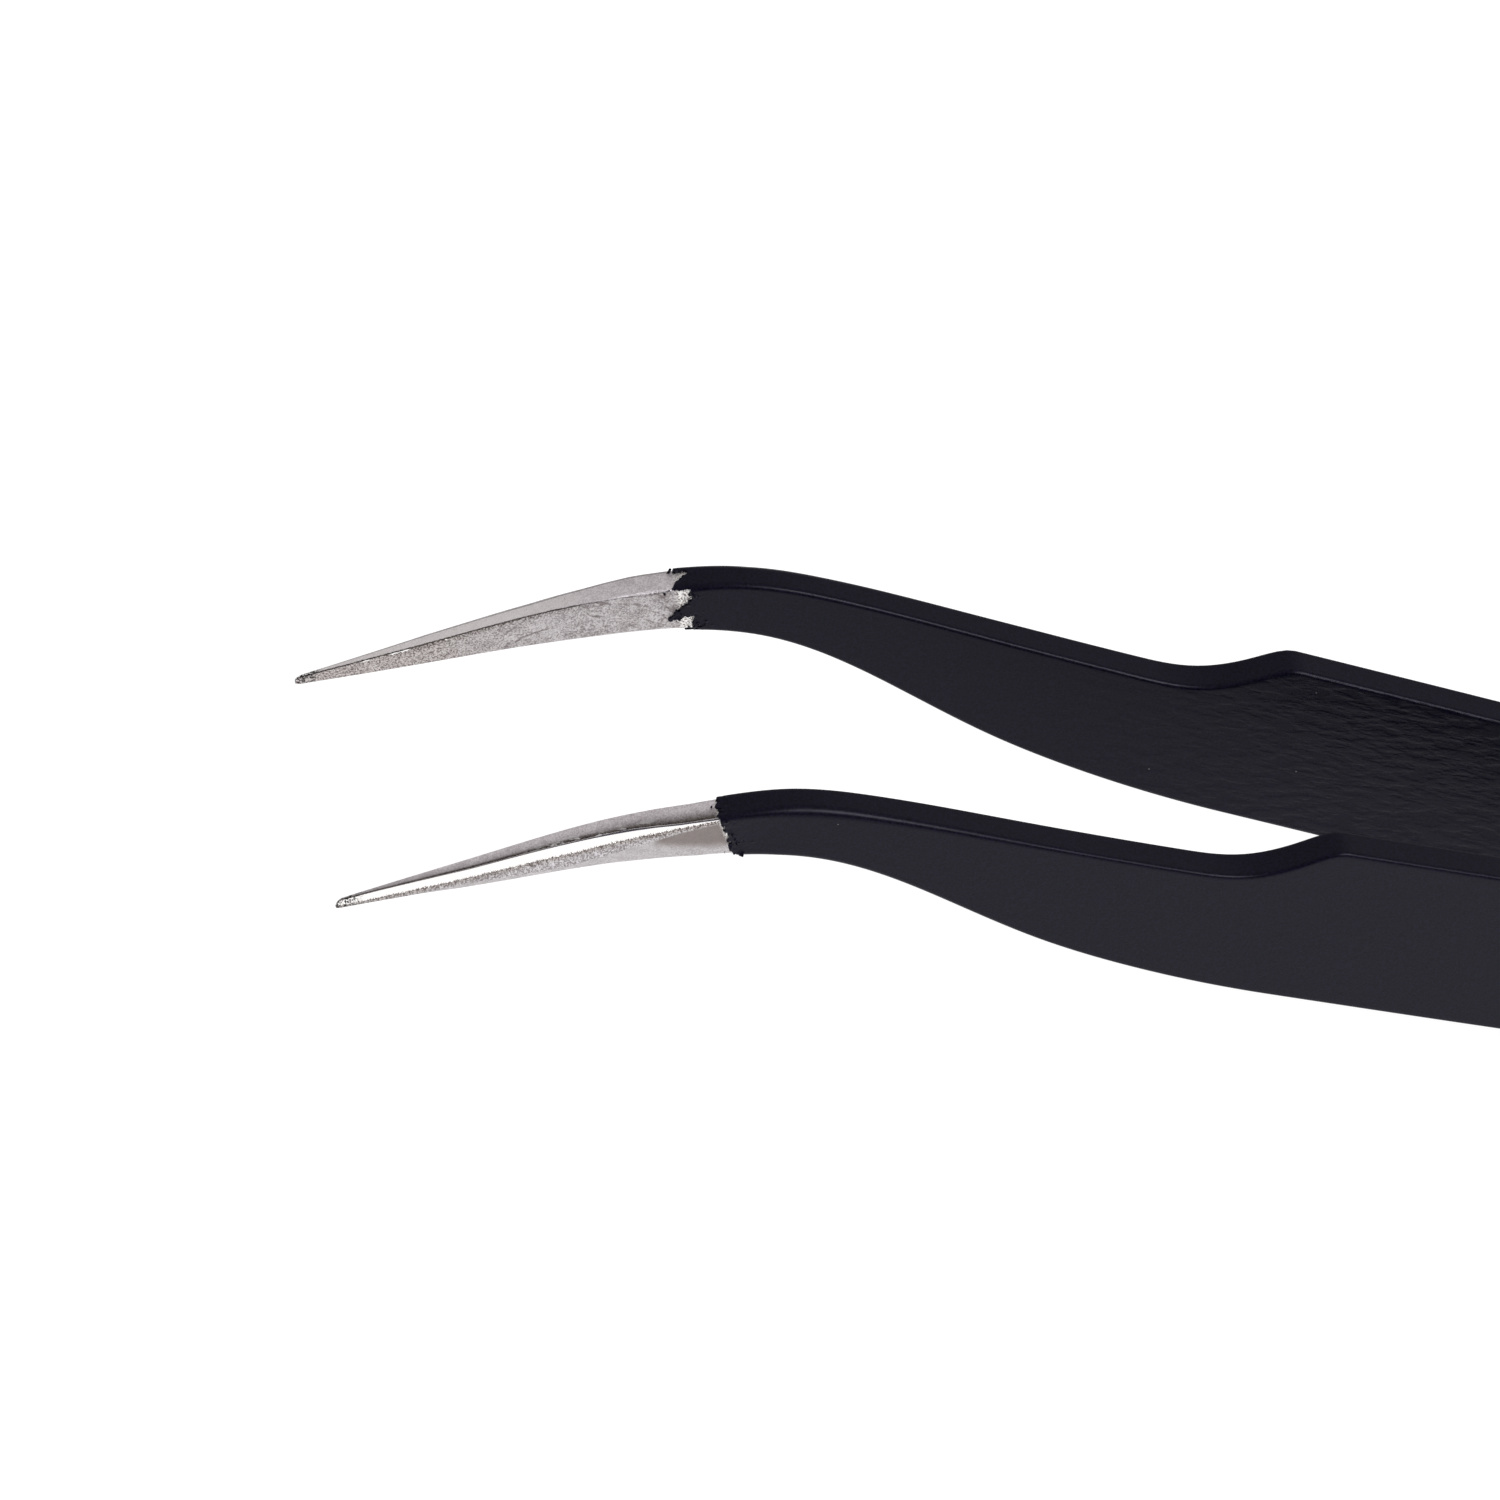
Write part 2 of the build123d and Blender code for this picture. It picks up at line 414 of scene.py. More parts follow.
class Nodes:
    """Makes nodes in a tree. Each input is a number, a colour, a vector or a node's socket."""

    def __init__(self, tree):
        self.tree = tree

    def node(self, kind, inputs=None, **settings):
        """A node with its settings, and its inputs by number or name."""
        made = self.tree.nodes.new(kind)
        for key, value in settings.items():
            setattr(made, key, value)
        for key, value in (inputs or {}).items():
            if isinstance(value, bpy.types.NodeSocket):
                self.tree.links.new(value, made.inputs[key])
            else:
                made.inputs[key].default_value = value
        return made

    def vector(self, operation, a, b=(0, 0, 0), scale=1.0):
        made = self.node("ShaderNodeVectorMath", {0: a, 1: b, 3: scale}, operation=operation)
        one_number = operation in ("DISTANCE", "DOT_PRODUCT")
        return made.outputs["Value" if one_number else "Vector"]

    def math(self, operation, a, b=0.0):
        return self.node("ShaderNodeMath", {0: a, 1: b}, operation=operation).outputs[0]

    def add(self, a, b):
        return self.math("ADD", a, b)

    def times(self, a, b):
        return self.math("MULTIPLY", a, b)

    def ramp(self, value, start, end, low=0.0, high=1.0):
        """A smooth change from low to high while the value goes from start to end."""
        inputs = {"Value": value, 1: start, 2: end, 3: low, 4: high}
        return self.node("ShaderNodeMapRange", inputs, interpolation_type="SMOOTHSTEP").outputs[0]

    def blend(self, amount, a, b):
        """A number between two."""
        return self.node("ShaderNodeMix", {0: amount, 2: a, 3: b}).outputs[0]

    def mix(self, amount, a, b):
        """A colour between two, each a socket or three numbers."""
        a, b = [c if isinstance(c, bpy.types.NodeSocket) else (*c, 1) for c in (a, b)]
        return self.node("ShaderNodeMix", {0: amount, 6: a, 7: b}, data_type="RGBA").outputs[2]


class Surface(Nodes):
    """A node material being made, with coordinates in the object's own millimetres."""

    def __init__(self, name, **uniform):
        self.material = bpy.data.materials.new(name)
        self.material.use_nodes = True
        super().__init__(self.material.node_tree)
        self.shader = self.tree.nodes["Principled BSDF"]
        for key, value in uniform.items():
            self.shader.inputs[key.replace("_", " ")].default_value = value
        place = self.node("ShaderNodeTexCoord").outputs["Object"]
        self.place = self.vector("SCALE", place, scale=1 / MM)

    def stretched(self, place, factors):
        return self.vector("MULTIPLY", place, factors)

    def noise(self, scale, detail=2.0, roughness=0.5, place=None):
        """Noise from 0 to 1 with `scale` waves a millimetre."""
        inputs = {"Vector": place or self.place, "Scale": scale, "Detail": detail,
                  "Roughness": roughness}
        return self.node("ShaderNodeTexNoise", inputs).outputs[0]

    def value(self, name):
        """A number that the mesh holds at each point."""
        return self.node("ShaderNodeAttribute", attribute_name=name).outputs["Fac"]

    def finish(self, colour, roughness, height, depth):
        """Joins up the shader: the height is a number times `depth` millimetres of relief."""
        bump = self.node("ShaderNodeBump", {"Height": height, "Distance": depth * MM})
        links = {"Base Color": colour, "Roughness": roughness, "Normal": bump.outputs[0]}
        for key, socket in links.items():
            self.tree.links.new(socket, self.shader.inputs[key])
        return self.material


# ---------------------------------------------------------------- the bare steel's material

# The wheel's lines on the inner faces are arcs about this point.
SWING_CENTRE = (-47.0, 0.0, 1.5)
# The scratches on the outer facet run at this angle to the handle.
SCRATCH_ANGLE = radians(30)


def wheel_lines(s):
    """Coordinates that run slowly along the wheel's arcs and fast across them."""
    distance = s.vector("DISTANCE", s.stretched(s.place, (1, 0, 1)), SWING_CENTRE)
    parts = s.node("ShaderNodeSeparateXYZ", {0: s.place})
    inputs = {0: distance, 1: s.times(parts.outputs["X"], 0.3), 2: parts.outputs["Y"]}
    return s.node("ShaderNodeCombineXYZ", inputs).outputs[0]


def steel_textures(s):
    """The noises that the steel's finishes share."""
    turned = s.node("ShaderNodeVectorRotate", {"Vector": s.place, "Angle": SCRATCH_ANGLE},
                    rotation_type="Y_AXIS").outputs[0]
    streaks = s.noise(15.0, 3.0, 0.7, s.stretched(turned, (1.0, 0.6, 0.2)))
    return SimpleNamespace(
        speck=s.noise(12.0, 3.0, 0.65),
        fine=s.noise(26.0, 2.0, 0.6),
        mottle=s.noise(2.4, 4.0, 0.6),
        streaks=streaks,
        shake=s.math("SUBTRACT", streaks, 0.5),
        arcs=s.noise(3.6, 4.0, 0.65, wheel_lines(s)),
        dashes=s.ramp(s.noise(4.0, 3.0, 0.6, s.stretched(s.place, (0.22, 1.0, 0.6))), 0.52, 0.58))


def steel_finishes(s, t):
    """How much of each finish a point has. The finishes' edges waver with the scratches."""
    above_crest = s.ramp(s.add(s.value("from_crest"), s.times(t.shake, 0.4)), -0.04, 0.04)
    past_arris = s.add(s.value("turn"), s.times(t.shake, 0.3))
    polished = s.times(above_crest, s.times(s.ramp(past_arris, -0.05, 0.03), s.value("polish")))
    # The band is painted shade: the dark reflection on the rounding beside the outer arris.
    band = s.times(s.ramp(past_arris, -1.05, -0.2), s.ramp(past_arris, -0.02, 0.03, 1, 0))
    band = s.times(band, s.times(above_crest, s.value("band")))
    scratched = s.ramp(s.add(s.value("from_foot"), s.times(t.shake, 0.3)), -0.06, 0.06)
    scratched = s.times(scratched, s.ramp(above_crest, 0, 1, 1, 0))
    scratched = s.times(scratched, s.value("scratch"))
    arris = s.add(s.add(s.value("from_arris"), 0.05), s.times(t.shake, 0.14))
    # The shining dashes are painted highlights along the inner arris, with low roughness too.
    shining = s.ramp(s.math("ABSOLUTE", s.add(arris, 0.09)), 0.03, 0.06, 1, 0)
    shining = s.times(s.times(shining, t.dashes), s.value("dashes"))
    return SimpleNamespace(polished=polished, band=band, scratched=scratched, arris=arris,
                           shining=shining)


def blasted_colour(s, t):
    """The pale top, with painted light near the point, and the other sides, in painted shade and
    mottled inside.
    """
    grain = s.add(s.times(t.speck, 0.65), s.times(t.mottle, 0.35))
    top = s.mix(s.ramp(grain, 0.36, 0.62), (0.65, 0.60, 0.625), (0.93, 0.885, 0.915))
    # Painted light: the top is painted paler near the point.
    top = s.mix(s.value("lit"), top, (0.98, 0.945, 0.93))
    # Painted shade: the sides are darker copies of the top's blasted steel.
    even = s.mix(s.ramp(grain, 0.36, 0.62), (0.40, 0.37, 0.375), (0.60, 0.57, 0.58))
    mottled = s.mix(s.ramp(grain, 0.38, 0.60), (0.26, 0.23, 0.235), (0.63, 0.60, 0.61))
    shaded = s.mix(s.value("mottled"), even, mottled)
    return s.mix(s.value("shaded"), top, shaded), grain


def add_rough_steel(s, t, colour, grain):
    """The pitted point and its painted glints, the wheel's lines, and the stock left by the coat.
    """
    pitted = s.mix(s.ramp(t.speck, 0.36, 0.62), (0.11, 0.085, 0.075), (0.62, 0.57, 0.56))
    colour = s.mix(s.value("rough"), colour, pitted)
    # Painted highlights: fine white glints on the shaded sides.
    painted_glints = s.times(s.ramp(t.fine, 0.60, 0.66), s.ramp(s.value("rough"), 0.05, 0.7, 0.25, 1))
    colour = s.mix(s.times(painted_glints, s.value("shaded")), colour, (0.96, 0.95, 0.96))
    lines = s.times(s.ramp(t.arcs, 0.54, 0.64), s.value("swept"))
    colour = s.mix(s.times(lines, 0.65), colour, (0.16, 0.13, 0.125))
    stock = s.mix(grain, (0.17, 0.145, 0.135), (0.34, 0.30, 0.29))
    return s.mix(s.value("stock"), colour, stock)


def add_outer_facets(s, t, finish, colour):
    """The scratched facet, the band of painted shade with its painted slivers of light, and the
    polished facet.
    """
    scratches = s.ramp(s.add(s.times(t.streaks, 0.4), s.times(t.speck, 0.6)), 0.43, 0.58)
    near_crest = s.ramp(s.value("from_crest"), -0.55, 0.0)
    deep = s.mix(near_crest, (0.24, 0.21, 0.21), (0.085, 0.062, 0.052))
    high = s.mix(near_crest, (0.68, 0.655, 0.68), (0.52, 0.48, 0.465))
    colour = s.mix(finish.scratched, colour, s.mix(scratches, deep, high))
    # Painted shade for the band beside the outer arris.
    painted_band_shade = s.mix(s.ramp(t.speck, 0.36, 0.64), (0.035, 0.026, 0.022), (0.14, 0.115, 0.105))
    colour = s.mix(finish.band, colour, painted_band_shade)
    # Painted highlights: pale slivers in the band of painted shade.
    slivers = s.times(t.dashes, s.times(finish.band, s.value("slivers")))
    colour = s.mix(slivers, colour, (0.95, 0.93, 0.93))
    return s.mix(finish.polished, colour, (0.90, 0.875, 0.86))


def add_bright_rim_and_point(s, t, finish, colour):
    """The rim in front of the coat with painted glints, the black specks at the point, and fine
    pits.
    """
    # Painted highlights: glints on the steel just in front of the coat's edge.
    glint = s.mix(s.ramp(t.speck, 0.40, 0.52), (0.2, 0.165, 0.145), (0.98, 0.965, 0.95))
    colour = s.mix(s.value("bright"), colour, glint)
    black = s.times(s.value("point"), s.ramp(t.speck, 0.52, 0.46))
    colour = s.mix(black, colour, (0.03, 0.03, 0.03))
    pits = s.times(s.ramp(t.fine, 0.62, 0.68), s.ramp(finish.polished, 0, 1, 0.6, 0))
    return s.mix(pits, colour, (0.12, 0.1, 0.095))


def add_inner_arris(s, t, finish, colour):
    """The painted dark line along the inner arris, the painted shade below it, and its dashes of
    painted highlight.
    """
    # Painted shade: a dark line along the inner arris.
    line = s.times(s.ramp(s.math("ABSOLUTE", finish.arris), 0.02, 0.07, 1, 0),
                   s.value("painted_arris_shade"))
    line = s.times(line, s.ramp(t.mottle, 0.3, 0.5, 0.45, 1.0))
    colour = s.mix(line, colour, (0.02, 0.016, 0.016))
    below = s.times(s.ramp(s.value("from_arris"), -0.55, -0.05), s.value("edge_shade"))
    below = s.times(below, s.ramp(t.speck, 0.42, 0.6, 0.85, 0.15))
    colour = s.mix(below, colour, (0.07, 0.052, 0.045))
    # Painted highlights along the inner arris.
    return s.mix(finish.shining, colour, (0.96, 0.95, 0.94))


def steel_roughness(s, t, finish):
    """Fine blasting, smoother where it is scratched, polished or shining."""
    roughness = s.blend(t.speck, 0.34, 0.54)
    roughness = s.blend(finish.scratched, roughness, 0.28)
    roughness = s.blend(finish.polished, roughness, s.value("softness"))
    return s.blend(finish.shining, roughness, 0.12)


def steel_relief(s, t, finish):
    """The grain and the scratches, almost gone where the steel is polished or shining."""
    relief = s.add(t.speck, s.times(t.fine, 0.4))
    relief = s.add(relief, s.times(finish.scratched, t.streaks))
    relief = s.times(relief, s.blend(finish.polished, 1.0, 0.03))
    return s.times(relief, s.blend(finish.shining, 1.0, 0.1))


def steel_material():
    """Bare steel: blasted, with a polished facet, a scratched one and rough inner faces."""
    s = Surface("ground_steel", Metallic=1.0)
    t = steel_textures(s)
    finish = steel_finishes(s, t)
    colour, grain = blasted_colour(s, t)
    colour = add_rough_steel(s, t, colour, grain)
    colour = add_outer_facets(s, t, finish, colour)
    colour = add_bright_rim_and_point(s, t, finish, colour)
    colour = add_inner_arris(s, t, finish, colour)
    return s.finish(colour, steel_roughness(s, t, finish), steel_relief(s, t, finish), 0.03)


# ---------------------------------------------------------------- the other materials

def coat_material():
    """Satin black coat: fine grain, long low wrinkles where marked, their crests painted lighter,
    and a few specks of dust.
    """
    s = Surface("black_coat", IOR=1.3, Specular_IOR_Level=0.3,
                Specular_Tint=(0.88, 0.84, 1.0, 1))
    grain = s.noise(9.0, 4.0, 0.7)
    wrinkles = s.noise(1.7, 2.0, 0.5, s.stretched(s.place, (0.5, 1.0, 1.3)))
    wrinkles = s.times(s.ramp(wrinkles, 0.36, 0.64), s.value("wrinkle"))
    cells = s.node("ShaderNodeTexVoronoi", {"Vector": s.place, "Scale": 0.9})
    chosen = s.node("ShaderNodeSeparateColor", {0: cells.outputs["Color"]}).outputs[0]
    dust = s.times(s.ramp(cells.outputs["Distance"], 0.02, 0.05, 1, 0), s.ramp(chosen, 0.9, 0.91))
    colour = s.mix(s.ramp(grain, 0.3, 0.7), (0.0004, 0.0004, 0.0022), (0.0062, 0.0056, 0.0160))
    # Painted light: the wrinkles' crests are painted lighter, on top of their relief.
    colour = s.mix(s.times(wrinkles, 0.25), colour, (0.0125, 0.012, 0.018))
    colour = s.mix(dust, colour, (0.12, 0.12, 0.12))
    relief = s.add(s.times(grain, 0.24), s.times(wrinkles, 0.75))
    return s.finish(colour, s.blend(grain, 0.26, 0.44), relief, 0.026)


def plain_steel(name, colour, roughness):
    """Drawn or fused steel that the coat hides: fine lines along the blade and faint mottling."""
    s = Surface(name, Metallic=1.0)
    lines = s.noise(5.0, 3.0, 0.6, s.stretched(s.place, (0.08, 1.0, 1.0)))
    mottle = s.noise(0.8, 3.0)
    darker = [c * 0.72 for c in colour]
    both = s.times(s.add(lines, mottle), 0.5)
    return s.finish(s.mix(s.ramp(both, 0.35, 0.65), darker, colour),
                    s.blend(lines, roughness - 0.08, roughness + 0.1), lines, 0.01)


bare_steel = steel_material()
coat = coat_material()
spring_steel = plain_steel("spring_steel", (0.55, 0.54, 0.53), 0.4)
weld_metal = plain_steel("weld_metal", (0.46, 0.44, 0.42), 0.5)

# ---------------------------------------------------------------- the coat's ragged edge

# Where the coat ends near the tips: its distance behind them at EDGE_HEIGHT, how fast that falls
# with height, how ragged it is in long, middling and fine waves, how few flakes lie in front of
# it, and its tongues towards the point. A tongue is its place round the section from the inner
# face's upper arris, its reach, its half-width and its lean. Glints are painted on the steel for
# a little way in front of the edge. Two more numbers are for the steel of the tip: how dark the
# painted shade of the band beside the outer arris is, and how much light is painted on the top
# near the point.
RAGGED = {
    "right": {"edge": 16.15, "slant": 0.49, "waves": (0.16, 0.16, 0.10), "seed": 3.0,
              "flakes": 0.36, "bright": 0.7, "band": 0.08, "lit": 0.75,
              "tongues": [(1.2, 0.9, 0.34, 0.3), (-0.05, 1.05, 0.44, 0.55),
                          (-1.95, 1.15, 0.48, 0.5), (-3.1, 0.6, 0.3, 0.2), (2.4, 0.3, 0.35, 0.2),
                          (3.5, 0.8, 0.4, -0.4)]},
    "left": {"edge": 15.6, "slant": 0.72, "waves": (0.08, 0.13, 0.06), "seed": 11.0,
             "flakes": 0.42, "bright": 0.15, "band": 1.0, "lit": 0.0,
             "tongues": [(0.6, 0.22, 0.3, 0.0), (-1.2, 0.4, 0.35, 0.4), (-2.6, 0.3, 0.3, 0.2)]},
}
EDGE_HEIGHT = 8.35
WAVE_LENGTHS = (0.55, 0.2, 0.09)
FLAKE_LENGTH = 0.13
LUMP_LENGTH = 0.22
# The stretch in which the coat's edge lies.
RAGGED_START = 13.8
RAGGED_END = 18.0


def noise_at(points, length, *shift):
    """Noise of a wavelength at each point, from about -1 to 1."""
    return np.array([noise.noise(Vector(p) / length + Vector(shift)) for p in points])


def behind_edge(behind, points, ragged):
    """How far points lie behind the mean line of the coat's edge."""
    return behind + ragged["slant"] * (points[:, 2] - EDGE_HEIGHT) - ragged["edge"]


def coat_reach(behind, points, ragged):
    """How far each point of a section lies inside the coat's ragged edge, less than 0 outside."""
    reach = behind_edge(behind, points, ragged)
    place = round_place(points)
    around = place.max() - place.min()
    for where, far, half, lean in ragged["tongues"]:
        apart = place - where - lean * (reach + far)
        apart = np.abs((apart + around / 2) % around - around / 2)
        reach = reach + np.clip(1 - apart / half, 0, 1) ** 0.7 * far
    for size, length, seed in zip(ragged["waves"], WAVE_LENGTHS, (0, 5, 9)):
        reach = reach + size * 2 * noise_at(points, length, ragged["seed"], seed, 0)
    specks = noise_at(points, FLAKE_LENGTH, ragged["seed"], 0, 17)
    reach = np.maximum(reach, (specks - ragged["flakes"] + 0.55 * np.minimum(reach, 0)) * 0.3)
    return np.minimum(reach, (specks + 0.42 + 0.6 * np.maximum(reach, 0)) * 0.3)


def lumps(points, reach, ragged):
    """How much the coat swells or thins just behind its ragged edge."""
    swell = noise_at(points, LUMP_LENGTH, ragged["seed"], 31, 0)
    near = np.clip(1 - reach / LUMP_LENGTH, 0, 1) ** 1.5
    return near * (0.05 * swell + 0.45 * np.clip(swell - 0.25, 0, 1))


# ---------------------------------------------------------------- the blades' steel

# How far round the outer upper arris the polish starts, in quarter-turns, and how much sooner it
# starts farther back.
POLISH_START = 0.64
POLISH_GAIN = 0.36


def outer_turn(behind, points):
    """How far each point lies past the start of the polish: in quarter-turns round the outer
    upper arris, and in millimetres across the top."""
    turn = np.where(OUTER_SIDE, np.clip(1 - ANGLE / (pi / 2), 0, 1), -1.0)
    turn[TOP_FLAT] = -np.linalg.norm(points[TOP_FLAT] - points[OUTER_ARC], axis=1)
    return turn - (POLISH_START - POLISH_GAIN * step_up(behind, 9.0, 12.0))


def stock_left(behind, share):
    """Marks the patch on the outer face, by the coat, that the wheel has left as stock."""
    above_foot = share - ground("foot_place", behind)
    bottom = np.interp(behind, [12.0, 12.6, 13.5, 15.0], [0.55, 0.45, 0.33, 0.24])
    return (OUTER_SIDE * step_up(behind, 12.0, 12.5) * step_up(share, bottom - 0.1, bottom + 0.16)
            * step_up(-above_foot, -0.01, 0.01))


def tip_marks(behind, points, ragged):
    """The steel's finish round one section, as named numbers for the material."""
    lower, upper = edge_height(behind, -1), edge_height(behind, 1)
    width = upper - lower
    share = np.clip((points[:, 2] - lower) / width, 0, 1)
    turn = outer_turn(behind, points)
    bare = 1 - step_up(behind, 17.0, 17.5)
    rim = -ragged["bright"]
    marks = {
        "from_crest": (share - ground("crest_place", behind)) * width,
        "from_foot": (share - ground("foot_place", behind)) * width,
        "from_arris": round_place(points),
        "turn": turn,
        "polish": OUTER_SIDE * (1 - 0.2 * step_up(behind, 13.5, 15.0)),
        "softness": 0.1 + 0.06 * step_up(behind, 9.0, 12.0),
        # Where the painted highlights in the band lie.
        "slivers": 0.7 * step_up(behind, 6.5, 8.5) * (1 - step_up(behind, 11, 13)),
        # Where the painted highlights along the inner arris lie.
        "dashes": step_up(behind, 2.0, 3.0) * (1 - step_up(behind, 5.5, 6.5)),
        # Where the band of painted shade lies, and how dark it is.
        "band": np.where(turn > -1.5, ragged["band"] * bare, 0.0),
        "swept": INNER_SIDE * step_up(behind, 6.0, 9.0),
        "point": 1 - step_up(behind, 0.5, 1.1),
        "scratch": OUTER_SIDE * (1 - step_up(behind, 15.6, 16.4)),
        "stock": stock_left(behind, share),
        "rough": INNER_SIDE * (0.12 + 0.78 * (1 - step_up(behind, 4.0, 10.0))),
        "mottled": INNER_SIDE * 1.0,
        # Painted light on the top near the point.
        "lit": TOP_SIDE * ragged["lit"] * (1 - step_up(behind, 8.0, 13.0)),
        # Painted shade on the sides other than the top.
        "shaded": np.clip(INNER_SIDE + OUTER_SIDE + LOWER_SIDE, 0, 1),
        # Where the painted dark line along the inner arris lies.
        "painted_arris_shade": 1 - step_up(behind, 10.2, 12.4),
        "edge_shade": INNER_SIDE * step_up(behind, 2.0, 5.0) * (1 - step_up(behind, 8.5, 12.5)),
        # Where glints are painted on the steel in front of the coat's edge.
        "bright": step_up(behind_edge(behind, points, ragged), rim - 0.15, rim + 0.15),
    }
    return {name: np.broadcast_to(value, RING) for name, value in marks.items()}


# The ends of the finely cut stretches of the blade.
FACETS_END = 17.5
SHOULDER_END = 48
POINT_STATIONS = NOSE * (1 - np.cos(np.linspace(0, pi / 2, 9)))[:-1]
STEEL_STATIONS = np.concatenate([
    POINT_STATIONS,
    spaced((NOSE, FACETS_END, 0.065), (FACETS_END, SHOULDER_END, 0.5),
           (SHOULDER_END, LEAF_START - 0.5, 1.5)),
    [LEAF_START]])
COAT_STATIONS = np.concatenate([
    spaced((RAGGED_START, RAGGED_END, 0.04), (RAGGED_END, SHOULDER_END, 0.4),
           (SHOULDER_END, LEAF_START - 0.5, 1.0)),
    [LEAF_START]])
LEAF_STATIONS = np.linspace(LEAF_START, WELD_FRONT, 45)


def make_blade(arm, side):
    """An arm's bare steel as far as the stretch that bends."""
    sections = rings(STEEL_STATIONS)
    marks = [tip_marks(behind, points, RAGGED[arm])
             for behind, points in zip(STEEL_STATIONS, sections)]
    values = {name: np.concatenate([m[name] for m in marks]) for name in marks[0]}
    blade = new_bar(f"{arm}_blade_steel", sections, side, bare_steel, values)
    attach(blade, f"{arm}_arm")
    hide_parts(f"{arm}_blade")


def make_leaf(arm, side):
    """The stretch of an arm's steel that bends."""
    leaf = new_bar(f"{arm}_leaf_steel", rings(LEAF_STATIONS), side, spring_steel)
    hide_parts(f"{arm}_spring_leaf")
    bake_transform(leaf)


# ---------------------------------------------------------------- the coat

# The coat fills this share of the groove between the two arms, and all of it at the end.
GROOVE_FILL = 0.6
# The electrodes leave a shallow round dent over each spot weld.
DENT_RADIUS = 1.25
DENT_DEPTH = 0.07
# How strong the wrinkles are on the outer faces, the edges and the tail.
FAINT = 0.05


def wrinkled(stations):
    """Marks the inner face of the handle, where the coat has dried in long low wrinkles."""
    return np.array([np.where(INNER_SIDE, 0.08 + 0.92 * step_up(behind, 32.0, 52.0), FAINT)
                     for behind in stations])


def make_blade_skin(arm, side):
    """An arm's coat, from its ragged edge to the stretch that bends."""
    ragged = RAGGED[arm]
    outer = rings(COAT_STATIONS, COAT)
    inner = rings(COAT_STATIONS, -SUNK)
    kept = np.ones(outer.shape[:2])
    for r, behind in enumerate(COAT_STATIONS):
        if behind < RAGGED_END - 0.01:
            kept[r] = coat_reach(behind, outer[r], ragged)
            out = outer[r] - inner[r]
            out /= np.linalg.norm(out, axis=1)[:, None]
            outer[r] += out * lumps(outer[r], kept[r], ragged)[:, None]
    shell = Shell(outer, inner, wrinkled(COAT_STATIONS), kept)
    skin = shell.mesh(f"{arm}_blade_skin", side)
    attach(skin, f"{arm}_arm")
    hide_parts(f"{arm}_blade_coat")


def make_leaf_skin(arm, side):
    """The coat on the stretch that bends."""
    shell = Shell(rings(LEAF_STATIONS, COAT), rings(LEAF_STATIONS, -SUNK),
                  wrinkled(LEAF_STATIONS))
    skin = shell.mesh(f"{arm}_leaf_skin", side)
    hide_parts(f"{arm}_spring_coat")
    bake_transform(skin)


def fill_groove(half, behind):
    """Moves the inner arrises of half the tail's outline out, towards its edges."""
    edge = np.where(half[:, 2] > handle_centre(behind), half[:, 2].max(), half[:, 2].min())
    filled = GROOVE_FILL + (1 - GROOVE_FILL) * step_up(behind, LENGTH - 2.5, LENGTH - 0.8)
    near = np.r_[0:ARC_STEPS, -ARC_STEPS:0]
    half[near, 2] += (edge - half[:, 2])[near] * filled


def dent_over_welds(half, behind):
    """Presses the two dents into the outer face of half the tail's outline."""
    for weld in SPOT_WELDS:
        across = half[:, 2] - handle_centre(weld)
        apart = np.hypot(behind - weld, across) / DENT_RADIUS
        half[:, 1] -= DENT_DEPTH * np.exp(-apart ** 4) * (half[:, 1] > STEEL)


def tail_ring(behind, grow):
    """Both arms' sections as one outline, with a groove where they meet."""
    half = ring(behind, grow)[np.r_[FACE_STEPS:RING, 0]]
    if grow > 0:
        fill_groove(half, behind)
        dent_over_welds(half, behind)
    half[[0, -1], 1] = 0
    return np.concatenate([half, half[-2:0:-1] * (1, -1, 1)])


def make_tail_skin():
    """The coat round both tangs, closed at the end."""
    corner = TAIL_CORNER + COAT
    round_end = LENGTH - corner * (1 - np.sin(np.linspace(0, pi / 2, 26)))
    stations = np.concatenate([np.arange(WELD_FRONT, LENGTH - corner - 0.1, 0.25), round_end])
    shorter = (LENGTH - COAT - SUNK - WELD_FRONT) / (LENGTH - WELD_FRONT)
    outer = np.array([tail_ring(b, COAT) for b in stations])
    inner = np.array([tail_ring(WELD_FRONT + (b - WELD_FRONT) * shorter, -SUNK)
                      for b in stations])
    shell = Shell(outer, inner, np.full(outer.shape[:2], FAINT))
    skin = shell.mesh("tail_skin", 1, blind=True)
    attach(skin, "tail")
    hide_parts("tail_coat")


for arm, side in ARMS.items():
    make_blade(arm, side)
    make_leaf(arm, side)
for arm, side in ARMS.items():
    make_blade_skin(arm, side)
    make_leaf_skin(arm, side)
make_tail_skin()

for node, material in {"left_tang": spring_steel, "right_tang": spring_steel,
                       "front_spot_weld": weld_metal, "rear_spot_weld": weld_metal}.items():
    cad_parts[node].data.materials.clear()
    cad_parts[node].data.materials.append(material)

# ---------------------------------------------------------------- floor, light and camera

FLOOR_REACH = 6
# The studio is dark on one side, up to a height, and pale elsewhere.
DARK_SIDE = (0.05, -1.0, 0.0)
PALE_SKY = (0.53, 0.515, 0.515)
DARK_SKY = (0.062, 0.058, 0.08)
# The key light comes from this direction and shines on this place, in metres.
KEY_FROM = (0.363, -0.516, 0.776)
LIT_PLACE = Vector((-0.03, 0, 0.008))

AZIMUTH = radians(-28.288)
ELEVATION = radians(40.037)
ROLL = radians(27.772)
LENS = 285.861
CAMERA = Vector((-234.485, -358.455, 348.801)) * MM


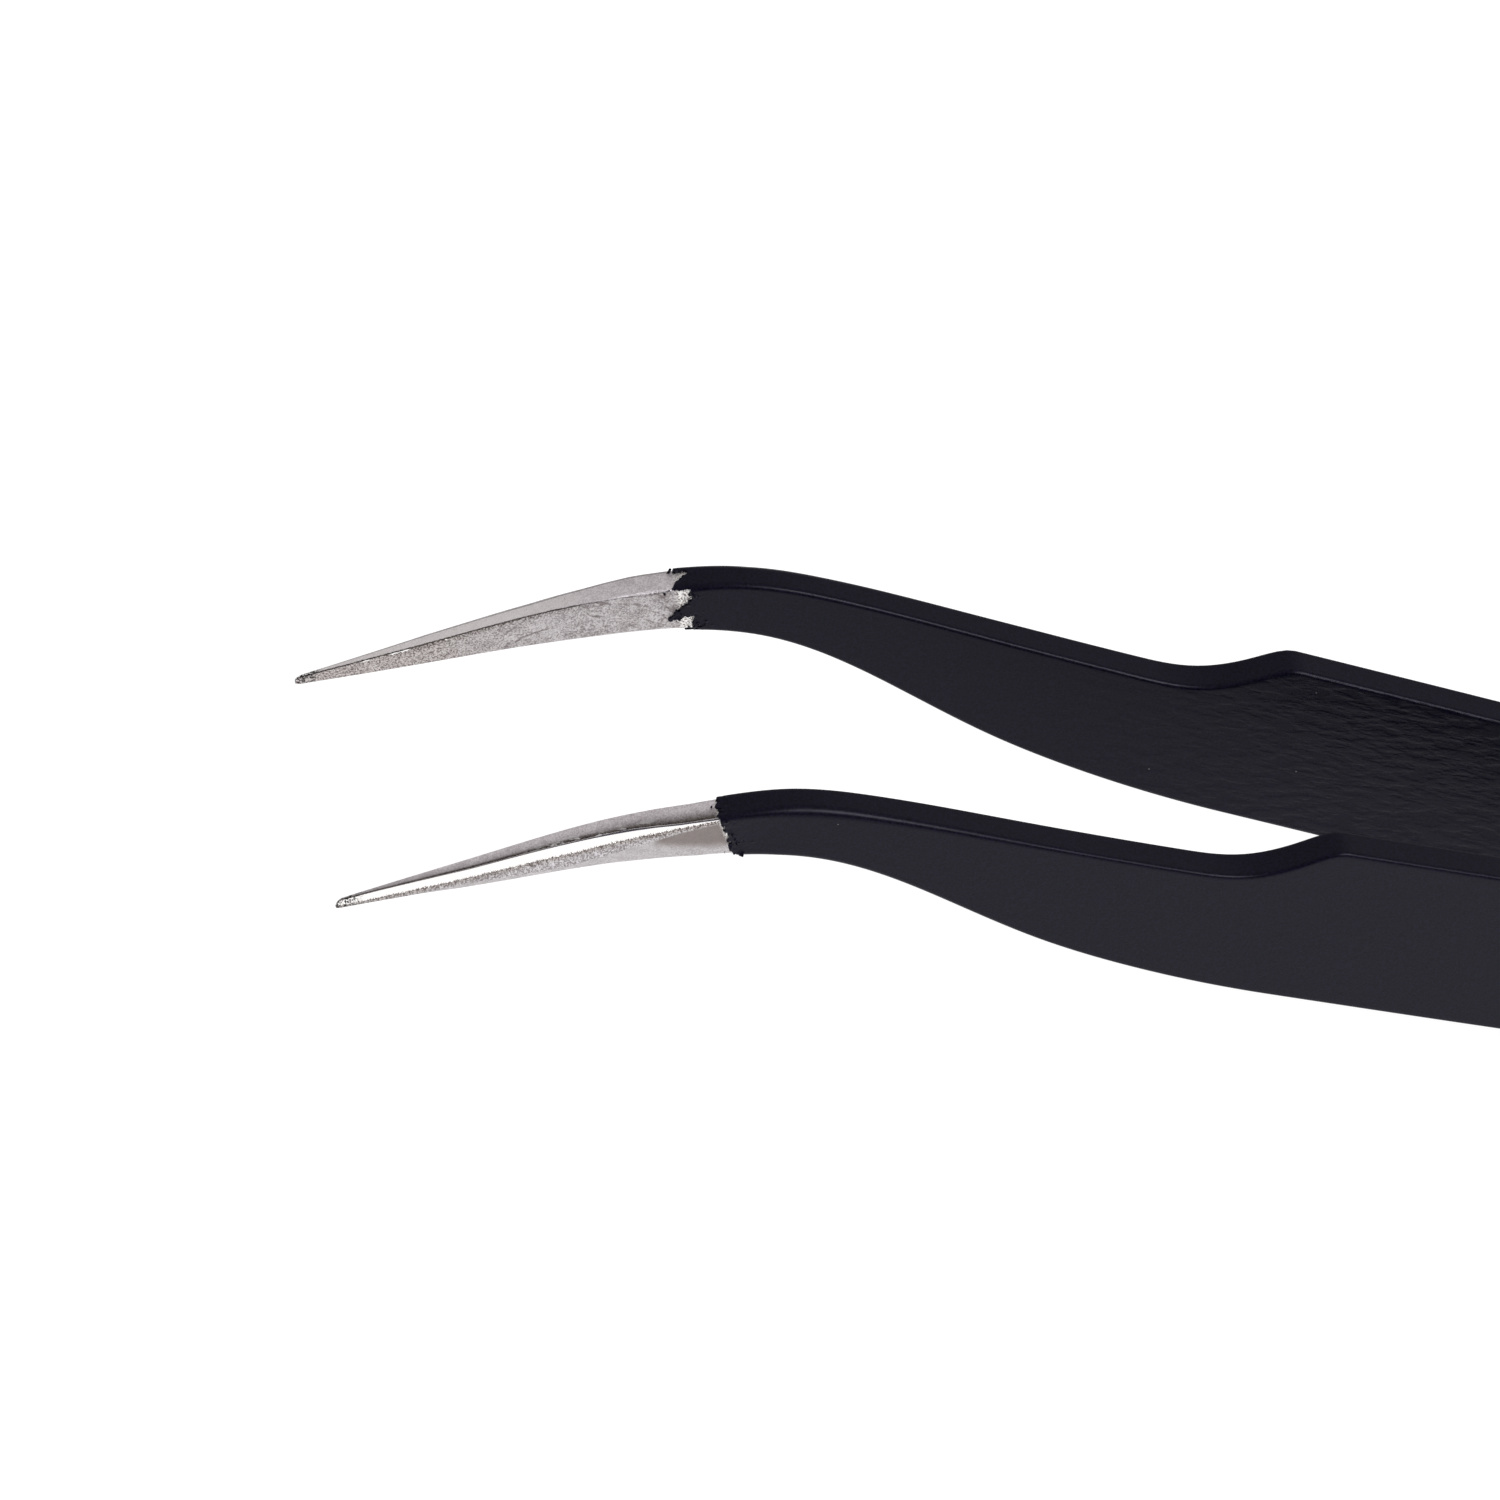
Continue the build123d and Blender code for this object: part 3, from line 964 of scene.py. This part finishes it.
def lay_floor():
    """A white floor, bright enough that the arms' shadows fade into it."""
    far = FLOOR_REACH
    mesh = bpy.data.meshes.new("floor")
    mesh.from_pydata([(-far, -far, 0), (far, -far, 0), (far, far, 0), (-far, far, 0)], [],
                     [(0, 1, 2, 3)])
    floor = bpy.data.objects.new("floor", mesh)
    bpy.context.scene.collection.objects.link(floor)
    pale = bpy.data.materials.new("pale_floor")
    pale.use_nodes = True
    shader = pale.node_tree.nodes["Principled BSDF"]
    shader.inputs["Base Color"].default_value = (0.22, 0.22, 0.22, 1)
    shader.inputs["Roughness"].default_value = 0.9
    shader.inputs["Emission Color"].default_value = (1, 1, 1, 1)
    shader.inputs["Emission Strength"].default_value = 0.95
    mesh.materials.append(pale)


def light_studio():
    """A pale studio with a dark side, which the arrises and the coat mirror."""
    world = bpy.data.worlds.new("studio")
    bpy.context.scene.world = world
    world.use_nodes = True
    w = Nodes(world.node_tree)
    direction = w.node("ShaderNodeTexCoord").outputs["Generated"]
    in_front = w.ramp(w.vector("DOT_PRODUCT", direction, DARK_SIDE), 0.15, 0.5)
    height = w.node("ShaderNodeSeparateXYZ", {0: direction}).outputs["Z"]
    darkness = w.times(in_front, w.ramp(height, 0.97, 0.85))
    background = world.node_tree.nodes["Background"]
    world.node_tree.links.new(w.mix(darkness, PALE_SKY, DARK_SKY), background.inputs["Color"])
    background.inputs["Strength"].default_value = 1.0


def soft_light(name, direction, distance, size, power):
    """A square lamp that shines on LIT_PLACE from a direction."""
    data = bpy.data.lights.new(name, "AREA")
    data.size = size
    data.energy = power
    lamp = bpy.data.objects.new(name, data)
    towards = Vector(direction).normalized()
    lamp.location = LIT_PLACE + towards * distance
    lamp.rotation_euler = towards.to_track_quat("Z", "Y").to_euler()
    bpy.context.scene.collection.objects.link(lamp)


def place_camera():
    """A long lens beyond the tips, in front of them and above, rolled about its own axis."""
    forward = Vector((-sin(AZIMUTH) * cos(ELEVATION), cos(AZIMUTH) * cos(ELEVATION),
                      -sin(ELEVATION)))
    level = forward.cross(Vector((0, 0, 1))).normalized()
    raised = level.cross(forward)
    right = level * cos(ROLL) + raised * sin(ROLL)
    up = raised * cos(ROLL) - level * sin(ROLL)
    rows = [[*row, place] for row, place in zip(zip(right, up, -forward), CAMERA)]
    camera = bpy.data.objects.new("camera", bpy.data.cameras.new("camera"))
    camera.data.lens = LENS
    camera.data.clip_start = 0.01
    camera.data.clip_end = 20
    camera.matrix_world = Matrix(rows + [[0, 0, 0, 1]])
    bpy.context.scene.collection.objects.link(camera)
    bpy.context.scene.camera = camera


lay_floor()
light_studio()
soft_light("key", KEY_FROM, distance=2.0, size=0.6, power=25.0)
place_camera()
bpy.context.scene.view_settings.view_transform = "Standard"
